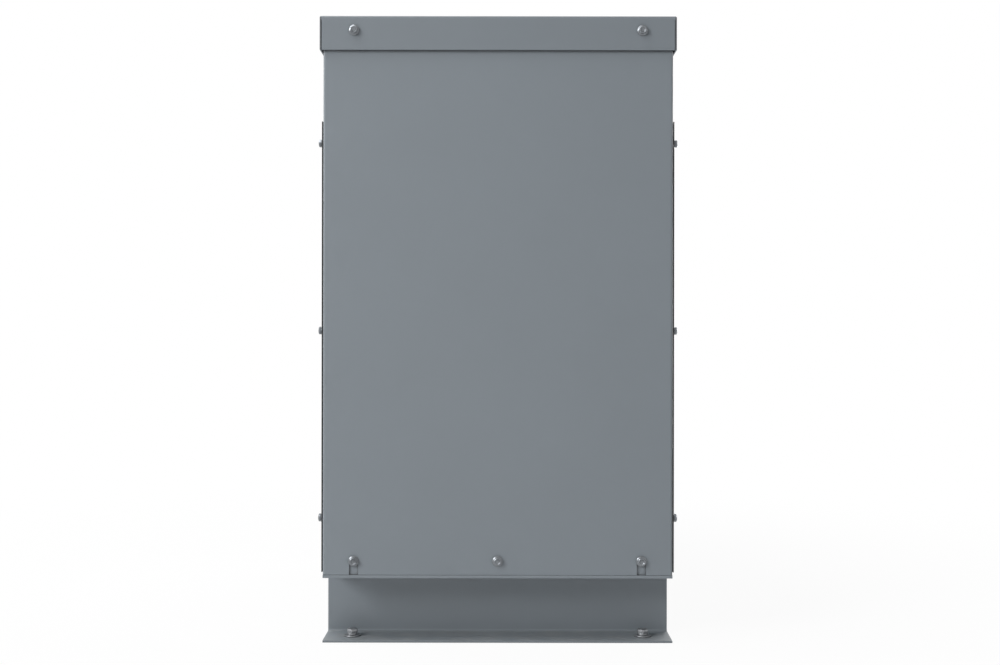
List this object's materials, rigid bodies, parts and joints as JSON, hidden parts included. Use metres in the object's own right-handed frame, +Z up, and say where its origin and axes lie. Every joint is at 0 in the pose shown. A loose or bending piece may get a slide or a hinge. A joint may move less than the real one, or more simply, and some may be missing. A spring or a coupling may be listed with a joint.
{
  "type": "dry-type power transformer",
  "caption": "Floor-standing dry-type power transformer: plain sheet-steel end panels, louvred side covers, folded hood, base rails with bolt-down feet, core and coils inside",
  "frame": {"origin": "centre of the footprint on the floor, under the middle of the base rails' feet", "axes": "the pictured plain end panel faces -Y, the louvred side covers face -X and +X, +Z is up"},
  "size_m": [0.5172, 0.7202, 0.909],
  "materials": {
    "housing_paint": "satin",
    "base_paint": "satin",
    "seal_rubber": "matte",
    "core_steel": "satin",
    "clamp_paint": "satin",
    "winding_resin": "satin",
    "insulation": "matte",
    "board_laminate": "satin",
    "bar_copper": "satin",
    "pad_rubber": "matte",
    "zinc_steel": "satin"
  },
  "bodies": {
    "root": {"front_panel": "housing_paint", "rear_panel": "housing_paint", "left_header": "housing_paint", "right_header": "housing_paint", "left_sill": "housing_paint", "right_sill": "housing_paint", "hood": "housing_paint", "left_cover": "housing_paint", "right_cover": "housing_paint", "floor_plate": "housing_paint", "front_rail": "base_paint", "rear_rail": "base_paint", "left_seal": "seal_rubber", "right_seal": "seal_rubber", "lower_yoke": "core_steel", "upper_yoke": "core_steel", "front_core_leg": "core_steel", "middle_core_leg": "core_steel", "rear_core_leg": "core_steel", "lower_left_clamp": "clamp_paint", "lower_right_clamp": "clamp_paint", "upper_left_clamp": "clamp_paint", "upper_right_clamp": "clamp_paint", "front_outer_coil": "winding_resin", "middle_outer_coil": "winding_resin", "rear_outer_coil": "winding_resin", "front_inner_coil": "insulation", "middle_inner_coil": "insulation", "rear_inner_coil": "insulation", "lower_coil_blocks": "insulation", "upper_coil_blocks": "insulation", "terminal_board": "board_laminate", "tap_boards": "board_laminate", "front_terminal_bar": "bar_copper", "middle_terminal_bar": "bar_copper", "rear_terminal_bar": "bar_copper", "front_left_pad": "pad_rubber", "front_right_pad": "pad_rubber", "rear_left_pad": "pad_rubber", "rear_right_pad": "pad_rubber", "board_brackets": "zinc_steel", "front_left_tie_rod": "zinc_steel", "front_right_tie_rod": "zinc_steel", "rear_left_tie_rod": "zinc_steel", "rear_right_tie_rod": "zinc_steel"}
  },
  "joints": []
}
